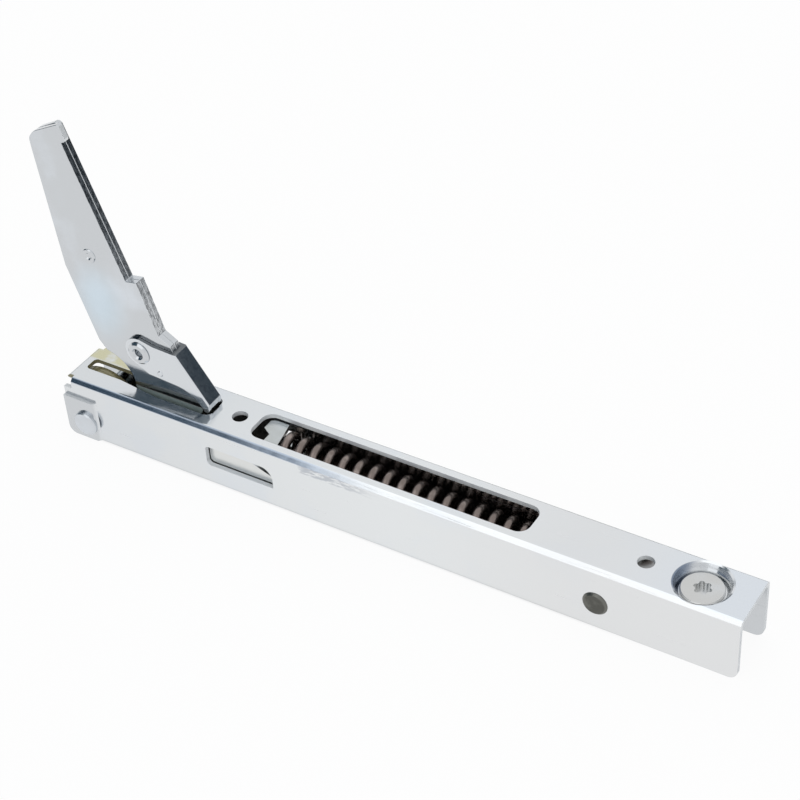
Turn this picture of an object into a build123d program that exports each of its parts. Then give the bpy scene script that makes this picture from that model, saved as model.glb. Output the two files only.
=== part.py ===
"""Spring hinge for a drop-down oven door: a folded channel that sits inside the door, a laminated
arm that hooks into the oven, and an extension spring that pulls the arm back through a yoke.

Frame: X along the channel from its pivot end, Y across it with zero on the middle plane, Z up with
zero on the channel's lower edges. Millimetres. The arm is shown where the lock lever holds it."""
from build123d import *
import math
import os

# Channel, folded from one sheet and open underneath
case_length = 236.0
case_width = 20.0
case_height = 22.0
sheet = 1.5
case_bend = 2.0
case_corner = 3.0

# Nose, where the top of the channel rolls down at the pivot end
nose_bend = 2.3
nose_angle = 70.0
nose_half_width = 7.6
nose_relief = 3.2

# Joggled fingers of the side walls, which carry the pivot
finger_length = 12.6
finger_height = 15.3
finger_offset = 1.1
finger_slope = 1.1
finger_shift = 0.4

# Slot for the arm
slot_start = 4.0
slot_end = 54.4
slot_narrow = 5.3
slot_wide = 9.2
slot_taper_start = 18.0
slot_taper_end = 34.0
slot_corner = 2.2

# Openings in the top and the sides
window_start = 69.8
window_length = 97.5
window_width = 12.2
window_corner = 3.8
peg_hole_radius = 2.6
peg_hole_first = 63.3
peg_hole_pitch = 139.6
side_opening_start = 55.8
side_opening_length = 25.1
side_opening_bottom = 7.0
side_opening_height = 7.5
side_opening_corner = 1.4
side_opening_nose = 4.2

# Drawn seat for the fixing screw
seat_from_end = 15.7
seat_radius = 9.0
seat_floor_radius = 6.8
seat_depth = 3.3

# Pivot of the arm
pivot_x = 8.0
pivot_below_top = 15.5
pivot_radius = 2.75
pivot_head_radius = 4.4
pivot_head_height = 1.2
pivot_spacer_radius = 3.5
spacer_chamfer = 0.6
bush_wall = 0.9
arm_eye_radius = 5.4
running_gap = 0.05

# Length of one unit of the drawn outlines of the arm and the lever
outline_unit = 1.0

# Arm plates
arm_plate = 2.0
arm_tip_step = 2.1
arm_tip_step_height = 6.0
arm_hub_radius = 13.6
neck_rise = 7.0
neck_corner = 3.0
arm_hub_start = 40.0
arm_hub_end = 122.0
arm_clinch_x = 13.9
arm_clinch_z = 68.7
arm_clinch_radius = 2.5
arm_clinch_proud = 0.4

# Link pin of the yoke, on a lug of the arm above the pivot
link_reach = 9.3
link_angle = 62.0
link_pin_radius = 2.0
link_lug_radius = 3.3
link_spacer_radius = 3.2
arm_travel = 68.0

# Lock lever, a folded sheet that straddles the arm
lever_sheet = 1.2
lever_fold = 0.5
lever_side_gap = 0.1
lever_pivot_x = 28.8
lever_pivot_z = 37.1
lever_boss_radius = 5.4
lever_shank_radius = 2.4
lever_head_radius = 4.0
lever_head_height = 0.9
lever_hollow_radius = 1.5
lever_hollow_depth = 2.2
lever_bump_radius = 1.0
lever_bump_height = 0.35

# Anchor pin of the spring
anchor_from_end = 44.0
anchor_below_top = 12.7
anchor_radius = 4.0
anchor_proud = 0.7
anchor_chamfer = 0.6
press_gap = 0.02

# Spring
wire_radius = 1.5
spring_side_gap = 0.75
spring_hook_room = 11.385
spring_first_turn = 80.9
spring_lead_in = 0.58
spring_full_turns = 19
hook_back = 0.45
hook_rise = 0.54
hook_start_angle = 250
hook_sweep = 293
hook_drop = 4.5
hook_run = 4.0
hook_bend = 4.2

# Yoke between the link pin and the spring
yoke_sheet = 1.5
yoke_side_gap = 0.3
yoke_top_gap = 0.55
yoke_eye_wall = 1.5
yoke_slot_play = 0.3
yoke_neck_end = 28.0
yoke_neck_bottom = 11.4
yoke_shoulder_drop = 1.95
yoke_deep_start = 42.0
yoke_bottom = 5.7
yoke_bridge_start = 71.6
yoke_bridge_slant = 3.2
yoke_bar = 1.6
yoke_slot_gap = 0.3
yoke_slot_bottom = 8.8
yoke_slot_drop = 2.65

# Fixing screw and its nut
screw_head_radius = 6.5
screw_head_height = 1.2
screw_shank_radius = 3.0
screw_length = 13.0
recess_radius = 2.75
recess_depth = 2.0
nut_across_flats = 10.0
nut_height = 5.0

# Places worked out from the sizes above
half_width = case_width / 2
seat_centre = case_length - seat_from_end
anchor_x = case_length - anchor_from_end
anchor_z = case_height - anchor_below_top
pivot_z = case_height - pivot_below_top
inner_half = half_width - sheet
finger_inner = inner_half + finger_offset
finger_outer = half_width + finger_offset
under_top = case_height - sheet
link_x = pivot_x + link_reach * math.cos(math.radians(link_angle))
link_z = pivot_z + link_reach * math.sin(math.radians(link_angle))
link_rise = link_reach * (1 - math.sin(math.radians(link_angle)))
bush_radius = pivot_radius + running_gap + bush_wall
lever_inner = arm_plate + lever_side_gap
lever_outer = lever_inner + lever_sheet
yoke_outer = inner_half - yoke_side_gap
yoke_inner = yoke_outer - yoke_sheet
spring_mean_radius = inner_half - spring_side_gap - wire_radius
spring_pitch = (anchor_x - spring_hook_room - spring_first_turn) / (spring_full_turns + 0.25)
hook_x = anchor_x - hook_back
hook_z = anchor_z + hook_rise
pull_slope = math.degrees(math.atan2(link_z - hook_z, hook_x - link_x))
seat_floor = case_height - seat_depth
nut_top = seat_floor - sheet


def turn(x, z, degrees, centre=(0.0, 0.0)):
    """A point of the side view turned about a centre, from +X towards +Z."""
    angle = math.radians(degrees)
    dx = x - centre[0]
    dz = z - centre[1]
    return (
        centre[0] + dx * math.cos(angle) - dz * math.sin(angle),
        centre[1] + dx * math.sin(angle) + dz * math.cos(angle),
    )


def drawn(x, z):
    """A point of a drawn outline."""
    return (x * outline_unit, z * outline_unit)


def save(part, name):
    """Label a finished piece and write it."""
    part.label = name
    export_step(part, "parts/" + name + ".step")


os.makedirs("parts", exist_ok=True)

# Channel with its top, walls, nose, fingers, slot, window and screw seat
with BuildPart() as case:
    with BuildSketch(Plane.YZ) as section:
        with Locations((0, case_height / 2)):
            Rectangle(case_width, case_height)
        fillet(section.vertices().group_by(Axis.Y)[-1], case_bend)
        with BuildSketch(mode=Mode.PRIVATE) as hollow:
            with Locations((0, under_top / 2)):
                Rectangle(case_width - 2 * sheet, under_top)
            fillet(hollow.vertices().group_by(Axis.Y)[-1], case_bend - sheet)
        add(hollow.sketch, mode=Mode.SUBTRACT)
    extrude(amount=case_length)
    # The walls end in rounded lower corners
    with BuildSketch(Plane.XZ) as wall_ends:
        with BuildLine():
            Line((case_length, 0), (case_length, case_corner))
            RadiusArc((case_length, case_corner), (case_length - case_corner, 0), case_corner)
            Line((case_length - case_corner, 0), (case_length, 0))
        make_face()
    extrude(amount=half_width, both=True, mode=Mode.SUBTRACT)
    # Clear the top corners and the end of the top for the nose
    with BuildSketch(Plane.XY.offset(case_height - nose_bend - 1.5)):
        with Locations((nose_relief / 2, 0)):
            Rectangle(nose_relief, case_width)
        with Locations((nose_bend + nose_relief, 0)):
            Rectangle(2 * nose_relief, 2 * nose_half_width, mode=Mode.SUBTRACT)
    extrude(amount=nose_bend + 2.5, mode=Mode.SUBTRACT)
    # The joggle of each wall: the flat stretch goes, the offset one comes
    with BuildSketch(Plane.XY):
        with Locations((finger_length / 2, 0)):
            Rectangle(finger_length, case_width + 1)
    extrude(amount=finger_height, mode=Mode.SUBTRACT)
    with BuildSketch(Plane.XY):
        with BuildLine():
            Polyline(
                (0, -finger_outer),
                (finger_length - finger_slope, -finger_outer),
                (finger_length, -half_width),
                (finger_length, -inner_half),
                (finger_length - finger_shift, -inner_half),
                (finger_length - finger_shift - finger_slope, -finger_inner),
                (0, -finger_inner),
                close=True,
            )
        make_face()
        mirror(about=Plane.XZ)
    extrude(amount=finger_height)
    # Above the finger the wall is held to it by the folded strip
    fillet(
        case.edges().filter_by(Axis.Y).filter_by_position(Axis.X, -0.1, 0.1).group_by(Axis.Z)[0],
        case_corner,
    )
    # Nose
    with BuildSketch(Plane.XZ):
        with BuildLine():
            outer_end = turn(nose_bend, case_height, nose_angle, (nose_bend, case_height - nose_bend))
            inner_end = turn(nose_bend, under_top, nose_angle, (nose_bend, case_height - nose_bend))
            outer_mid = turn(nose_bend, case_height, nose_angle / 2, (nose_bend, case_height - nose_bend))
            inner_mid = turn(nose_bend, under_top, nose_angle / 2, (nose_bend, case_height - nose_bend))
            ThreePointArc((nose_bend, case_height), outer_mid, outer_end)
            Line(outer_end, inner_end)
            ThreePointArc(inner_end, inner_mid, (nose_bend, under_top))
            Line((nose_bend, under_top), (nose_relief, under_top))
            Line((nose_relief, under_top), (nose_relief, case_height))
            Line((nose_relief, case_height), (nose_bend, case_height))
        make_face()
    extrude(amount=nose_half_width, both=True)
    # Slot for the arm, wider where the lever's tip engages
    with BuildSketch(Plane.XY.offset(case_height)) as slot:
        with BuildLine():
            Polyline(
                (slot_start, -slot_narrow / 2),
                (slot_taper_start, -slot_narrow / 2),
                (slot_taper_end, -slot_wide / 2),
                (slot_end, -slot_wide / 2),
                (slot_end, slot_wide / 2),
                (slot_taper_end, slot_wide / 2),
                (slot_taper_start, slot_narrow / 2),
                (slot_start, slot_narrow / 2),
                close=True,
            )
        make_face()
        fillet(slot.vertices().group_by(Axis.X)[-1], slot_corner)
        fillet(slot.vertices().group_by(Axis.X)[0], slot_narrow / 4)
    extrude(amount=-nose_bend - sheet, mode=Mode.SUBTRACT)
    # Window over the spring and the two peg holes
    with BuildSketch(Plane.XY.offset(case_height)):
        with Locations((window_start + window_length / 2, 0)):
            RectangleRounded(window_length, window_width, window_corner)
        with Locations((peg_hole_first, 0), (peg_hole_first + peg_hole_pitch, 0)):
            Circle(peg_hole_radius)
    extrude(amount=-sheet, mode=Mode.SUBTRACT)
    # Opening in each side wall
    with BuildSketch(Plane.XZ) as opening:
        with Locations((side_opening_start, side_opening_bottom)):
            Rectangle(side_opening_length, side_opening_height, align=(Align.MIN, Align.MIN))
        upper_right = opening.vertices().group_by(Axis.Y)[-1].sort_by(Axis.X)[-1]
        fillet(upper_right, side_opening_nose)
        fillet(opening.vertices().group_by(Axis.X)[0], side_opening_corner)
    extrude(amount=half_width, both=True, mode=Mode.SUBTRACT)
    # Holes for the anchor pin and the pivot
    with BuildSketch(Plane.XZ):
        with Locations((anchor_x, anchor_z)):
            Circle(anchor_radius)
        with Locations((pivot_x, pivot_z)):
            Circle(pivot_radius + press_gap)
    extrude(amount=finger_outer, both=True, mode=Mode.SUBTRACT)
    # Drawn seat: a dished ring with a flat floor
    with BuildSketch(Plane.XY.offset(case_height)):
        with Locations((seat_centre, 0)):
            Circle(seat_radius)
    extrude(amount=-sheet, mode=Mode.SUBTRACT)
    with BuildSketch(Plane(origin=(seat_centre, 0, 0), x_dir=(1, 0, 0), z_dir=(0, -1, 0))):
        with BuildLine():
            Polyline(
                (screw_shank_radius + 0.3, seat_floor),
                (seat_floor_radius, seat_floor),
                (seat_radius - 0.6, case_height - 0.35),
                (seat_radius, case_height),
                (seat_radius, under_top),
                (seat_radius - 0.1, under_top - 0.5),
                (seat_floor_radius + 1.0, seat_floor - sheet + 0.6),
                (seat_floor_radius + 0.2, seat_floor - sheet),
                (screw_shank_radius + 0.3, seat_floor - sheet),
                close=True,
            )
        make_face()
    revolve(axis=Axis((seat_centre, 0, 0), (0, 0, 1)))
save(case.part, "case")


# Arm plates: lug, hooked neck, notch that clears the nose, and the tapered blade
def arm_face(tip_step):
    """Outline of an arm plate in the side view, with its holes."""
    with BuildSketch(Plane.XZ) as plate:
        with BuildLine():
            blade_foot = drawn(27.0, 63.2)
            blade_top = drawn(9.2, 114.0)
            along = math.atan2(blade_top[1] - blade_foot[1], blade_top[0] - blade_foot[0])
            step_foot = (
                blade_top[0] - arm_tip_step_height * math.cos(along),
                blade_top[1] - arm_tip_step_height * math.sin(along),
            )
            outward = (math.sin(along) * tip_step, -math.cos(along) * tip_step)
            tip_right = (blade_top[0] + outward[0], blade_top[1] + outward[1])
            step_top = (step_foot[0] + outward[0], step_foot[1] + outward[1])
            neck_top = pivot_z + neck_rise
            edge = [
                (pivot_x, pivot_z - arm_eye_radius),
                drawn(23.0, 5.4),
                drawn(34.0, 9.4),
                drawn(45.0, 14.4),
                drawn(50.2, 20.5),
                drawn(50.2, 27.2),
                drawn(41.75, 40.4),
                drawn(41.0, 42.8),
                drawn(36.7, 45.4),
                drawn(31.2, 63.9),
                blade_foot,
            ]
            if tip_step:
                edge += [step_foot, step_top, tip_right]
            else:
                edge += [blade_top]
            edge += [
                drawn(0.6, 109.6),
                drawn(-1.5, 107.0),
                drawn(-1.2, 103.0),
                drawn(3.2, 62.0),
                drawn(11.6, 35.6),
                drawn(14.2, 32.4),
            ]
            Polyline(*edge)
            neck_start = drawn(23.8, 24.0)
            neck_x = 24.3 * outline_unit
            ThreePointArc(drawn(14.2, 32.4), drawn(20.6, 29.2), neck_start)
            Line(neck_start, (neck_x, neck_top + neck_corner))
            RadiusArc((neck_x, neck_top + neck_corner), (neck_x - neck_corner, neck_top), neck_corner)
            lug_side = math.sqrt(link_lug_radius**2 - (link_z - neck_top) ** 2)
            Line((neck_x - neck_corner, neck_top), (link_x + lug_side, neck_top))
            lug_top = turn(link_x, link_z + link_lug_radius, 0, (link_x, link_z))
            lug_left = turn(link_x - link_lug_radius, link_z, 20, (link_x, link_z))
            ThreePointArc((link_x + lug_side, neck_top), lug_top, lug_left)
            eye_left = turn(pivot_x - arm_eye_radius, pivot_z, -25, (pivot_x, pivot_z))
            eye_low = turn(pivot_x - arm_eye_radius, pivot_z, 45, (pivot_x, pivot_z))
            Line(lug_left, eye_left)
            ThreePointArc(eye_left, eye_low, (pivot_x, pivot_z - arm_eye_radius))
        make_face()
        # Round hub that passes under the nose as the arm turns
        with BuildLine():
            hub = (pivot_x, pivot_z)
            hub_first = turn(pivot_x + arm_hub_radius, pivot_z, arm_hub_start, hub)
            hub_last = turn(pivot_x + arm_hub_radius, pivot_z, arm_hub_end, hub)
            hub_mid = turn(pivot_x + arm_hub_radius, pivot_z, (arm_hub_start + arm_hub_end) / 2, hub)
            Line(hub, hub_first)
            ThreePointArc(hub_first, hub_mid, hub_last)
            Line(hub_last, hub)
        make_face()
        with Locations((pivot_x, pivot_z)):
            Circle(bush_radius, mode=Mode.SUBTRACT)
        with Locations((link_x, link_z)):
            Circle(link_pin_radius, mode=Mode.SUBTRACT)
        with Locations((lever_pivot_x, lever_pivot_z)):
            Circle(lever_shank_radius, mode=Mode.SUBTRACT)
        with Locations((arm_clinch_x, arm_clinch_z)):
            Circle(arm_clinch_radius - 0.6, mode=Mode.SUBTRACT)
    return plate.sketch


with BuildPart() as arm_front_plate:
    extrude(arm_face(arm_tip_step), amount=arm_plate)
save(arm_front_plate.part, "arm_front_plate")

with BuildPart() as arm_rear_plate:
    extrude(arm_face(0), amount=-arm_plate)
save(arm_rear_plate.part, "arm_rear_plate")

# Clinch rivet that holds the plates together, nearly flush
with BuildPart() as arm_rivet:
    with BuildSketch(Plane(origin=(arm_clinch_x, 0, arm_clinch_z), x_dir=(1, 0, 0), z_dir=(0, 0, 1))):
        with BuildLine():
            end = arm_plate + arm_clinch_proud
            Polyline(
                (0, -end + 0.45),
                (0.8, -end + 0.35),
                (1.3, -end),
                (arm_clinch_radius - 0.2, -end),
                (arm_clinch_radius, -arm_plate),
                (arm_clinch_radius - 0.6, -arm_plate),
                (arm_clinch_radius - 0.6, arm_plate),
                (arm_clinch_radius, arm_plate),
                (arm_clinch_radius - 0.2, end),
                (0, end),
                close=True,
            )
        make_face()
    revolve(axis=Axis((arm_clinch_x, 0, arm_clinch_z), (0, 1, 0)))
save(arm_rivet.part, "arm_rivet")

# Pivot rivet, with a flat-sided near head as it lies against the joggle
with BuildPart() as pivot_rivet:
    with BuildSketch(Plane(origin=(pivot_x, 0, pivot_z), x_dir=(1, 0, 0), z_dir=(0, 0, 1))):
        with BuildLine():
            head_face = finger_outer + pivot_head_height
            Polyline(
                (0, -head_face),
                (pivot_head_radius - 0.4, -head_face),
                (pivot_head_radius, -head_face + 0.4),
                (pivot_head_radius, -finger_outer),
                (pivot_radius, -finger_outer),
                (pivot_radius, finger_outer),
                (pivot_head_radius - 0.6, finger_outer),
                (pivot_head_radius - 1.0, head_face - 0.2),
                (0, head_face),
                close=True,
            )
        make_face()
    revolve(axis=Axis((pivot_x, 0, pivot_z), (0, 1, 0)))
save(pivot_rivet.part, "pivot_rivet")

# Bush pressed into the arm, turning on the pivot rivet
with BuildPart() as pivot_bush:
    with BuildSketch(Plane.XZ):
        with Locations((pivot_x, pivot_z)):
            Circle(bush_radius)
            Circle(pivot_radius + running_gap, mode=Mode.SUBTRACT)
    extrude(amount=arm_plate, both=True)
save(pivot_bush.part, "pivot_bush")

# Spacer tubes that keep the arm in the middle of the channel
for side, place in (("near", 1), ("far", -1)):
    with BuildPart() as pivot_spacer:
        with BuildSketch(Plane.XZ.offset(place * (arm_plate + running_gap))):
            with Locations((pivot_x, pivot_z)):
                Circle(pivot_spacer_radius)
                Circle(pivot_radius + press_gap, mode=Mode.SUBTRACT)
        extrude(amount=place * (finger_inner - arm_plate - running_gap))
        # The outer end is chamfered to clear the slope of the joggle
        outer_rims = pivot_spacer.edges().filter_by(GeomType.CIRCLE).sort_by(
            lambda rim: abs(rim.center().Y)
        )[-2:]
        chamfer(outer_rims.sort_by(lambda rim: rim.radius)[-1], spacer_chamfer)
    save(pivot_spacer.part, "pivot_spacer_" + side)

# Link pin, pressed into the arm's lug
with BuildPart() as link_pin:
    with BuildSketch(Plane.XZ):
        with Locations((link_x, link_z)):
            Circle(link_pin_radius)
    extrude(amount=yoke_outer + 0.1, both=True)
    chamfer(link_pin.edges().filter_by(GeomType.CIRCLE), 0.3)
save(link_pin.part, "link_pin")

for side, place in (("near", 1), ("far", -1)):
    with BuildPart() as link_spacer:
        with BuildSketch(Plane.XZ.offset(place * arm_plate)):
            with Locations((link_x, link_z)):
                Circle(link_spacer_radius)
                Circle(link_pin_radius, mode=Mode.SUBTRACT)
        extrude(amount=place * (yoke_inner - arm_plate - 2 * running_gap))
    save(link_spacer.part, "link_spacer_" + side)

# Lock lever: two cheeks joined by the back, with a round boss at its rivet
with BuildPart() as lock_lever:
    with BuildSketch(Plane.XZ) as cheek:
        with BuildLine():
            boss = (lever_pivot_x, lever_pivot_z)
            boss_top = turn(lever_pivot_x, lever_pivot_z + lever_boss_radius, -8, boss)
            boss_left = turn(lever_pivot_x - lever_boss_radius, lever_pivot_z, 0, boss)
            boss_low = turn(lever_pivot_x, lever_pivot_z - lever_boss_radius, -14, boss)
            back_top = drawn(43.2, 40.9)
            back_low = drawn(54.0, 25.0)
            tip = drawn(53.9, 22.9)
            tip_end = drawn(51.6, 22.9)
            belly = drawn(42.0, 28.8)
            shoulder = drawn(34.6, 41.3)
            flank = drawn(31.5, 29.6)
            ThreePointArc(boss_low, boss_left, boss_top)
            Line(boss_top, shoulder)
            Line(shoulder, back_top)
            Line(back_top, back_low)
            Line(back_low, tip)
            RadiusArc(tip, tip_end, (tip[0] - tip_end[0]) / 2)
            ThreePointArc(tip_end, drawn(47.6, 27.0), belly)
            Line(belly, flank)
            Line(flank, boss_low)
        make_face()
    extrude(amount=lever_outer, both=True)
    # The space between the cheeks, closed by the back alone
    back_angle = math.atan2(back_low[1] - back_top[1], back_low[0] - back_top[0])
    in_x = math.sin(back_angle) * lever_sheet
    in_z = -math.cos(back_angle) * lever_sheet
    run_x = math.cos(back_angle) * 30
    run_z = math.sin(back_angle) * 30
    with BuildSketch(Plane.XZ):
        with BuildLine():
            Polyline(
                (back_top[0] + in_x - run_x, back_top[1] + in_z - run_z),
                (back_top[0] + in_x + run_x, back_top[1] + in_z + run_z),
                (0, 0),
                (0, 60),
                close=True,
            )
        make_face()
    extrude(amount=lever_inner, both=True, mode=Mode.SUBTRACT)
    with BuildSketch(Plane.XZ):
        with Locations(boss):
            Circle(lever_shank_radius + running_gap)
    extrude(amount=lever_outer, both=True, mode=Mode.SUBTRACT)
    # The folds between cheeks and back are rounded
    folds = [
        e
        for e in lock_lever.edges().filter_by(GeomType.LINE)
        if abs(abs(e.center().Y) - lever_outer) < 0.01
        and abs(e.length - math.dist(back_top, back_low)) < 0.01
    ]
    fillet(folds, lever_fold)
    # Half-pierced detent bump on the near cheek
    with BuildSketch(Plane.XZ.offset(lever_outer)):
        with Locations(drawn(36.2, 31.4)):
            Circle(lever_bump_radius)
    extrude(amount=lever_bump_height, taper=30)
save(lock_lever.part, "lock_lever")

# Semi-tubular rivet of the lever
with BuildPart() as lever_rivet:
    with BuildSketch(
        Plane(origin=(lever_pivot_x, 0, lever_pivot_z), x_dir=(1, 0, 0), z_dir=(0, 0, 1))
    ):
        with BuildLine():
            cheek_face = lever_outer + running_gap
            Polyline(
                (0, -cheek_face + lever_hollow_depth - lever_head_height),
                (lever_hollow_radius - 0.2, -cheek_face + lever_hollow_depth - lever_head_height),
                (lever_hollow_radius, -cheek_face - 0.2),
                (lever_hollow_radius + 0.6, -cheek_face - lever_head_height),
                (lever_head_radius - 0.7, -cheek_face - lever_head_height + 0.15),
                (lever_head_radius, -cheek_face - 0.25),
                (lever_head_radius, -cheek_face),
                (lever_shank_radius, -cheek_face),
                (lever_shank_radius, cheek_face),
                (lever_head_radius, cheek_face),
                (lever_head_radius - 0.4, cheek_face + lever_head_height * 0.7),
                (0, cheek_face + lever_head_height),
                close=True,
            )
        make_face()
    revolve(axis=Axis((lever_pivot_x, 0, lever_pivot_z), (0, 1, 0)))
save(lever_rivet.part, "lever_rivet")

# Anchor pin across the channel
with BuildPart() as anchor_pin:
    with BuildSketch(Plane.XZ):
        with Locations((anchor_x, anchor_z)):
            Circle(anchor_radius - press_gap)
    extrude(amount=half_width + anchor_proud, both=True)
    chamfer(anchor_pin.edges().filter_by(GeomType.CIRCLE), anchor_chamfer)
save(anchor_pin.part, "anchor_pin")

# Spring: open coil from the yoke to the hook round the anchor pin
pull = math.radians(pull_slope)
along_x = math.cos(pull)
along_z = -math.sin(pull)
start_angle = math.radians(90 - spring_lead_in * 360)
coil_start = (spring_first_turn - link_x) / along_x - spring_lead_in * spring_pitch
coil_turns = spring_full_turns + spring_lead_in + 0.25
coil_plane = Plane(
    origin=(link_x + along_x * coil_start, 0, link_z + along_z * coil_start),
    x_dir=(-along_z * math.sin(start_angle), math.cos(start_angle), along_x * math.sin(start_angle)),
    z_dir=(along_x, 0, along_z),
)
coil = coil_plane.location * Edge.make_helix(spring_pitch, coil_turns * spring_pitch, spring_mean_radius)
coil_end = coil @ 1
hook_lead = coil_end + (coil % 1) * hook_drop
with BuildPart() as spring:
    with BuildLine(Plane.XZ) as loop:
        CenterArc((hook_x, hook_z), spring_mean_radius, hook_start_angle, hook_sweep)
    loop_start = loop.line @ 0
    hook_turn = loop_start - (loop.line % 0) * hook_run
    with BuildLine() as crossing:
        FilletPolyline(coil_end, hook_lead, hook_turn, loop_start, radius=(hook_bend, hook_bend))
    for path in (coil, crossing.line, loop.line):
        with BuildSketch(Plane(origin=path @ 0, z_dir=path % 0)):
            Circle(wire_radius)
        sweep(path=path, is_frenet=path is coil)
save(spring.part, "spring")

# Yoke: two cheeks along the walls, joined by a bridge that hooks the first turn of the spring
eye_x = link_x - yoke_slot_play / 2
yoke_top = under_top - yoke_top_gap
yoke_shoulder = yoke_top - yoke_shoulder_drop
slot_top = yoke_top - yoke_slot_drop
slot_half = wire_radius + yoke_slot_gap
quarter_pitch = spring_pitch / 4
near_slot = spring_first_turn + quarter_pitch
far_slot = spring_first_turn - quarter_pitch
yoke_end = near_slot + slot_half + yoke_bar
far_end = far_slot + slot_half + yoke_bar
slot_width = 2 * (link_pin_radius + running_gap) + yoke_slot_play
slot_height = 2 * (link_pin_radius + 2 * running_gap + link_rise)
eye_width = slot_width + 2 * yoke_eye_wall
eye_height = slot_height + 2 * yoke_eye_wall - 0.4
with BuildPart() as spring_yoke:
    with BuildSketch(Plane.XZ):
        with BuildLine():
            Polyline(
                (eye_x, link_z - 2.8),
                (yoke_neck_end, yoke_neck_bottom),
                (yoke_deep_start, yoke_bottom),
                (yoke_end, yoke_bottom),
                (yoke_end, yoke_top),
                (yoke_bridge_start - 5, yoke_top),
                (yoke_bridge_start - 8, yoke_shoulder),
                (eye_x, yoke_shoulder),
                close=True,
            )
        make_face()
        with Locations((eye_x, link_z)):
            RectangleRounded(eye_width, eye_height, link_pin_radius + 1)
    extrude(amount=yoke_outer, both=True)
    folds = spring_yoke.edges().filter_by(Axis.X).group_by(Axis.Z)[-1]
    fillet(folds, yoke_sheet + 0.3)
    # Inside of the yoke, open at the top before the bridge
    with BuildSketch(Plane.YZ):
        with Locations((0, yoke_top - yoke_sheet)):
            Rectangle(2 * yoke_inner, case_height, align=(Align.CENTER, Align.MAX))
    extrude(amount=case_length, mode=Mode.SUBTRACT)
    with BuildSketch(Plane.XY.offset(yoke_top)):
        with BuildLine():
            Polyline(
                (0, -yoke_inner),
                (yoke_bridge_start + yoke_bridge_slant, -yoke_inner),
                (yoke_bridge_start + yoke_bridge_slant, -1.0),
                (yoke_bridge_start, 1.0),
                (yoke_bridge_start, yoke_inner),
                (0, yoke_inner),
                close=True,
            )
        make_face()
    extrude(amount=-2 * yoke_sheet, mode=Mode.SUBTRACT)
    # Slotted eyes for the link pin
    with BuildSketch(Plane.XZ):
        with Locations((eye_x, link_z)):
            RectangleRounded(slot_width, slot_height, link_pin_radius)
    extrude(amount=yoke_outer, both=True, mode=Mode.SUBTRACT)
    # The bridge ends beside the first turn, slanted as the wire runs
    reach = yoke_outer - yoke_sheet - 0.6
    slant = quarter_pitch * reach / spring_mean_radius
    with BuildSketch(Plane.XY.offset(yoke_top)):
        with BuildLine():
            Polyline(
                (spring_first_turn + slant - slot_half, -reach),
                (spring_first_turn - slant - slot_half, reach),
                (yoke_end + 1, reach),
                (yoke_end + 1, -reach),
                close=True,
            )
        make_face()
    extrude(amount=-2 * yoke_sheet, mode=Mode.SUBTRACT)
    # A slot in each cheek hooks the first turn, and the lower edge slopes down to it
    for middle, place in ((near_slot, 1), (far_slot, -1)):
        with BuildSketch(Plane.XZ):
            with BuildLine():
                Polyline(
                    (yoke_bridge_start - 1.0, 13.2),
                    (middle - slot_half - 1.0, 9.8),
                    (middle - slot_half, yoke_slot_bottom),
                    (middle + slot_half, yoke_slot_bottom),
                    (middle + slot_half, slot_top),
                    (yoke_bridge_start + 1.0, slot_top),
                    close=True,
                )
            make_face()
        extrude(amount=place * yoke_outer, mode=Mode.SUBTRACT)
    with BuildSketch(Plane.XZ):
        with Locations((far_end, 0)):
            Rectangle(yoke_end, case_height, align=(Align.MIN, Align.MIN))
    extrude(amount=-yoke_outer, mode=Mode.SUBTRACT)
save(spring_yoke.part, "spring_yoke")

# Fixing screw in the drawn seat, with a six-lobe recess
with BuildPart() as fixing_screw:
    with BuildSketch(Plane(origin=(seat_centre, 0, 0), x_dir=(1, 0, 0), z_dir=(0, -1, 0))):
        with BuildLine():
            head_top = seat_floor + screw_head_height
            Polyline(
                (0, head_top),
                (screw_head_radius - 0.35, head_top),
                (screw_head_radius, head_top - 0.35),
                (screw_head_radius, seat_floor),
                (screw_shank_radius, seat_floor),
                (screw_shank_radius, seat_floor - screw_length + 0.8),
                (screw_shank_radius - 0.8, seat_floor - screw_length),
                (0, seat_floor - screw_length),
                close=True,
            )
        make_face()
    revolve(axis=Axis((seat_centre, 0, 0), (0, 0, 1)))
    with BuildSketch(Plane.XY.offset(head_top)) as recess:
        with Locations((seat_centre, 0)):
            Circle(recess_radius * 0.78)
            with PolarLocations(recess_radius * 0.72, 6):
                Circle(recess_radius * 0.28)
    extrude(amount=-recess_depth, mode=Mode.SUBTRACT)
save(fixing_screw.part, "fixing_screw")

# Nut under the seat
with BuildPart() as screw_nut:
    with BuildSketch(Plane.XY.offset(nut_top)):
        with Locations((seat_centre, 0)):
            RegularPolygon(nut_across_flats / 2, 6, major_radius=False)
            Circle(screw_shank_radius, mode=Mode.SUBTRACT)
    extrude(amount=-nut_height)
save(screw_nut.part, "screw_nut")
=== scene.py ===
"""Looks for the oven door hinge: zinc plated sheet, dark spring and pins, soft studio light."""
import math

import bmesh
import bpy
from bpy.props import FloatProperty, FloatVectorProperty, IntProperty, PointerProperty
from mathutils import Matrix, Vector


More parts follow.
